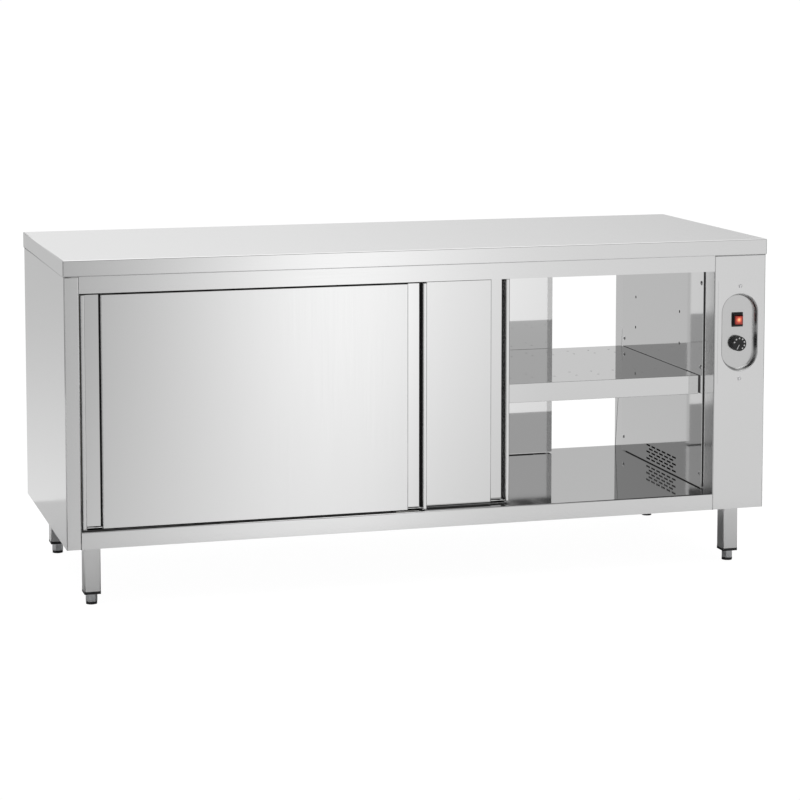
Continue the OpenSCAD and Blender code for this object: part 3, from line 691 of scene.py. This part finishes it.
def lit_lens(name, centre):
    """Red plastic that glows round a centre, given in metres on the cabinet."""
    finish, tree, shader = new_finish(name, (0.45, 0.05, 0.035), 0.22)
    place = add_node(tree, "ShaderNodeTexCoord").outputs["Object"]
    away = add_node(tree, "ShaderNodeMapping", {"vector_type": "POINT"}, Vector=place)
    away.inputs["Location"].default_value = [-v / LAMP_REACH for v in centre]
    away.inputs["Scale"].default_value = (1 / LAMP_REACH,) * 3
    distance = add_node(tree, "ShaderNodeVectorMath", {"operation": "LENGTH"}, _0=away.outputs[0])
    glow = colour_ramp(tree, distance.outputs["Value"], LAMP_GLOW)
    tree.links.new(glow, shader.inputs["Emission Color"])
    shader.inputs["Emission Strength"].default_value = LAMP_STRENGTH
    return finish


low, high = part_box("rocker")
lamp = Vector(((low.x + high.x) / 2, low.y, (low.z + high.z) / 2 + LAMP_RISE))
wear(rocker, lit_lens("lit_red_lens", lamp))
print("lamp at", [round(v, 4) for v in lamp])

# %% [markdown]
# ## Geometry Nodes for what repeats
#
# Screw heads and dots repeat at places that a rule gives. A Geometry Nodes tree can hold the
# shape once and place it many times, with its sizes as named inputs. The tree ends in
# Realize Instances and Set Material, and its result is turned into a plain mesh, so nothing is
# left that the exported model would lose.


# %% Helpers that build and run a tree
def new_tree(name, **inputs):
    """A Geometry Nodes tree whose named inputs have these kinds and values."""
    tree = bpy.data.node_groups.new(name, "GeometryNodeTree")
    tree.interface.new_socket("Geometry", in_out="INPUT", socket_type="NodeSocketGeometry")
    for label, (kind, value) in inputs.items():
        socket = tree.interface.new_socket(label, in_out="INPUT", socket_type="NodeSocket" + kind)
        if value is not None:
            socket.default_value = value
    tree.interface.new_socket("Geometry", in_out="OUTPUT", socket_type="NodeSocketGeometry")
    return tree, tree.nodes.new("NodeGroupInput").outputs


def end_tree(tree, instances, material):
    """Ends a tree: real geometry with one material on it."""
    real = add_node(tree, "GeometryNodeRealizeInstances", Geometry=instances)
    painted = add_node(
        tree, "GeometryNodeSetMaterial", Geometry=real.outputs[0], Material=material
    )
    result = tree.nodes.new("NodeGroupOutput")
    tree.links.new(painted.outputs[0], result.inputs[0])


def grow(name, tree, start, **values):
    """Runs a tree on a start mesh and returns the result as a plain piece."""
    holder = bpy.data.objects.new(name + "_start", start)
    scene.collection.objects.link(holder)
    modifier = holder.modifiers.new(name, "NODES")
    modifier.node_group = tree
    for item in tree.interface.items_tree:
        if item.in_out == "INPUT" and item.name in values:
            modifier[item.identifier] = values[item.name]
    graph = bpy.context.evaluated_depsgraph_get()
    mesh = bpy.data.meshes.new_from_object(holder.evaluated_get(graph))
    holder.modifiers.remove(modifier)
    bpy.data.objects.remove(holder)
    piece = bpy.data.objects.new(name, mesh)
    scene.collection.objects.link(piece)
    return piece


print("tree helpers are ready")

# %% [markdown]
# ## Screw heads
#
# The inner walls are held by round-head screws, and the control plate by two small ones. Their
# places are those of the measured screws. The tree makes one domed head with a cross recess,
# turns it to face out of its wall, and sets one on each point. The dome is a sphere pressed
# flat; its lower half stays inside the wall.


# %% Make the screw heads
RECESS_REACH = 0.95
RECESS_DEPTH = 0.9
# How far under the tops of the measured heads the new ones are centred.
WALL_HEAD = 1.8 * MM
PLATE_HEAD = 1.4 * MM


def screw_tree():
    """One cross-recess head per point, turned the way that the point faces."""
    tree, given = new_tree(
        "screw_heads",
        Radius=("Float", 5.0 * MM),
        Height=("Float", 2.7 * MM),
        Recess=("Float", 1.0 * MM),
        Material=("Material", None),
    )
    ball = add_node(tree, "GeometryNodeMeshUVSphere", Segments=20, Rings=12, Radius=1.0)
    size = add_node(
        tree, "ShaderNodeCombineXYZ", X=given["Radius"], Y=given["Radius"], Z=given["Height"]
    )
    head = add_node(tree, "GeometryNodeTransform", Geometry=ball.outputs["Mesh"])
    tree.links.new(size.outputs[0], head.inputs["Scale"])
    arm = calculate(tree, "MULTIPLY", given["Radius"], RECESS_REACH)
    depth = calculate(tree, "MULTIPLY", given["Height"], RECESS_DEPTH)
    sizes = [
        add_node(tree, "ShaderNodeCombineXYZ", X=arm, Y=given["Recess"], Z=depth),
        add_node(tree, "ShaderNodeCombineXYZ", X=given["Recess"], Y=arm, Z=depth),
    ]
    lift = add_node(tree, "ShaderNodeCombineXYZ", Z=given["Height"])
    cut = add_node(tree, "GeometryNodeMeshBoolean", {"operation": "DIFFERENCE", "solver": "EXACT"})
    tree.links.new(head.outputs[0], cut.inputs["Mesh 1"])
    for size in sizes:
        bar = add_node(tree, "GeometryNodeMeshCube", Size=size.outputs[0])
        raised = add_node(tree, "GeometryNodeTransform", Geometry=bar.outputs["Mesh"])
        tree.links.new(lift.outputs[0], raised.inputs["Translation"])
        tree.links.new(raised.outputs[0], cut.inputs["Mesh 2"])
    facing = add_node(tree, "GeometryNodeInputNamedAttribute", {"data_type": "FLOAT_VECTOR"})
    facing.inputs["Name"].default_value = "facing"
    turn = add_node(tree, "FunctionNodeAlignRotationToVector", {"axis": "Z"})
    tree.links.new(facing.outputs["Attribute"], turn.inputs["Vector"])
    placed = add_node(
        tree, "GeometryNodeInstanceOnPoints", Points=given["Geometry"],
        Instance=cut.outputs["Mesh"], Rotation=turn.outputs["Rotation"],
    )
    end_tree(tree, placed.outputs[0], given["Material"])
    return tree


def islands(name):
    """The lowest and highest corner of each loose solid in a part."""
    solid = bmesh.new()
    solid.from_mesh(parts[name].data)
    bmesh.ops.remove_doubles(solid, verts=solid.verts, dist=WELD_REACH)
    left = set(solid.verts)
    boxes = []
    while left:
        stack = [left.pop()]
        low, high = stack[0].co.copy(), stack[0].co.copy()
        while stack:
            vert = stack.pop()
            low = Vector(map(min, low, vert.co))
            high = Vector(map(max, high, vert.co))
            for edge in vert.link_edges:
                other = edge.other_vert(vert)
                if other in left:
                    left.remove(other)
                    stack.append(other)
        boxes.append((low, high))
    solid.free()
    return boxes


def points_mesh(name, places, facings):
    """A mesh of loose points that carries the direction each one faces."""
    mesh = bpy.data.meshes.new(name)
    mesh.from_pydata(places, [], [])
    layer = mesh.attributes.new("facing", "FLOAT_VECTOR", "POINT")
    for number, facing in enumerate(facings):
        layer.data[number].vector = facing
    return mesh


def screw_heads(name, places, facings, **sizes):
    """Screw heads that stand in for a part's plain ones."""
    start = points_mesh(name + "_points", places, facings)
    finish_of[name] = SCREW
    piece = grow(name + "_heads", SCREWS, start, Material=SCREW, **sizes)
    stand_in(piece, name)
    return piece


SCREWS = screw_tree()
wall_places = []
wall_facings = []
for low, high in islands("wall_screws"):
    inwards = 1 if low.x < 0 else -1
    flush = high.x - WALL_HEAD if inwards > 0 else low.x + WALL_HEAD
    wall_places.append((flush, (low.y + high.y) / 2, (low.z + high.z) / 2))
    wall_facings.append((inwards, 0, 0))
screws = screw_heads("wall_screws", wall_places, wall_facings, Radius=5.8 * MM)
print("wall screws:", len(wall_places), "faces:", len(screws.data.polygons))

plate_places = []
for low, high in islands("plate_screws"):
    plate_places.append(((low.x + high.x) / 2, low.y + PLATE_HEAD, (low.z + high.z) / 2))
plate_facings = [(0, -1, 0)] * len(plate_places)
screws = screw_heads(
    "plate_screws", plate_places, plate_facings, Radius=5.2 * MM, Height=1.9 * MM, Recess=0.8 * MM
)
print("plate screws:", len(plate_places), "faces:", len(screws.data.polygons))

# %% [markdown]
# ## Dots and pointer on the dial
#
# Seven pale dots on the knob's face mark the steps of heat. They lie on an arc, so the tree
# makes a row of points, bends it to the arc by each point's number, and sets a thin disc on
# each. A thin bar on top of the knob's small ridge is the pointer. All of it turns with the knob.


# %% Make the dial's dots
KNOB_RIDGE = 1 * MM


def dot_tree():
    """Thin discs on an arc and a pointer bar in the plane of the dial, which faces the front."""
    tree, given = new_tree(
        "dial_dots",
        Count=("Int", 7),
        Centre=("Vector", (0, 0, 0)),
        Arc=("Float", 14.3 * MM),
        Start=("Float", 163.0),
        Step=("Float", -36.2),
        Dot=("Float", 2.1 * MM),
        Height=("Float", 0.3 * MM),
        Pointer=("Float", -117.0),
        Pointer_Start=("Float", 2.5 * MM),
        Pointer_Length=("Float", 13.0 * MM),
        Pointer_Width=("Float", 1.9 * MM),
        Pointer_Lift=("Float", KNOB_RIDGE),
        Material=("Material", None),
    )
    row = add_node(tree, "GeometryNodeMeshLine", Count=given["Count"])
    number = add_node(tree, "GeometryNodeInputIndex").outputs[0]
    degrees = calculate(tree, "MULTIPLY_ADD", number, given["Step"], given["Start"])
    angle = calculate(tree, "RADIANS", degrees)
    across = calculate(tree, "MULTIPLY", calculate(tree, "COSINE", angle), given["Arc"])
    up = calculate(tree, "MULTIPLY", calculate(tree, "SINE", angle), given["Arc"])
    offset = add_node(tree, "ShaderNodeCombineXYZ", X=across, Z=up).outputs[0]
    place = add_node(tree, "ShaderNodeVectorMath", {"operation": "ADD"}, _0=offset)
    tree.links.new(given["Centre"], place.inputs[1])
    bent = add_node(tree, "GeometryNodeSetPosition", Geometry=row.outputs[0])
    tree.links.new(place.outputs[0], bent.inputs["Position"])
    disc = add_node(tree, "GeometryNodeMeshCylinder", Vertices=14, Radius=given["Dot"])
    tree.links.new(given["Height"], disc.inputs["Depth"])
    faced = add_node(tree, "GeometryNodeTransform", Geometry=disc.outputs["Mesh"])
    faced.inputs["Rotation"].default_value = (math.pi / 2, 0, 0)
    placed = add_node(
        tree, "GeometryNodeInstanceOnPoints", Points=bent.outputs[0], Instance=faced.outputs[0]
    )
    size = add_node(
        tree, "ShaderNodeCombineXYZ", X=given["Pointer_Length"], Y=given["Height"],
        Z=given["Pointer_Width"],
    ).outputs[0]
    bar = add_node(tree, "GeometryNodeMeshCube", Size=size)
    half = calculate(tree, "MULTIPLY", given["Pointer_Length"], 0.5)
    out = calculate(tree, "ADD", half, given["Pointer_Start"])
    lifted = calculate(tree, "MULTIPLY", given["Pointer_Lift"], -1.0)
    moved = add_node(tree, "ShaderNodeCombineXYZ", X=out, Y=lifted).outputs[0]
    beside = add_node(tree, "GeometryNodeTransform", Geometry=bar.outputs["Mesh"])
    tree.links.new(moved, beside.inputs["Translation"])
    lean = calculate(tree, "RADIANS", calculate(tree, "MULTIPLY", given["Pointer"], -1.0))
    turn = add_node(tree, "ShaderNodeCombineXYZ", Y=lean).outputs[0]
    pointer = add_node(tree, "GeometryNodeTransform", Geometry=beside.outputs[0])
    tree.links.new(turn, pointer.inputs["Rotation"])
    tree.links.new(given["Centre"], pointer.inputs["Translation"])
    both = add_node(tree, "GeometryNodeJoinGeometry")
    tree.links.new(placed.outputs[0], both.inputs[0])
    tree.links.new(pointer.outputs[0], both.inputs[0])
    end_tree(tree, both.outputs[0], given["Material"])
    return tree


low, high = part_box("knob")
knob_centre = ((low.x + high.x) / 2, low.y + KNOB_RIDGE, (low.z + high.z) / 2)
empty_mesh = bpy.data.meshes.new("dots_start")
dots = grow("dial_dots", dot_tree(), empty_mesh, Centre=knob_centre, Material=PRINT)
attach(dots, BODY_OF["knob"])
print("dial dots, faces:", len(dots.data.polygons), "centre:", knob_centre)
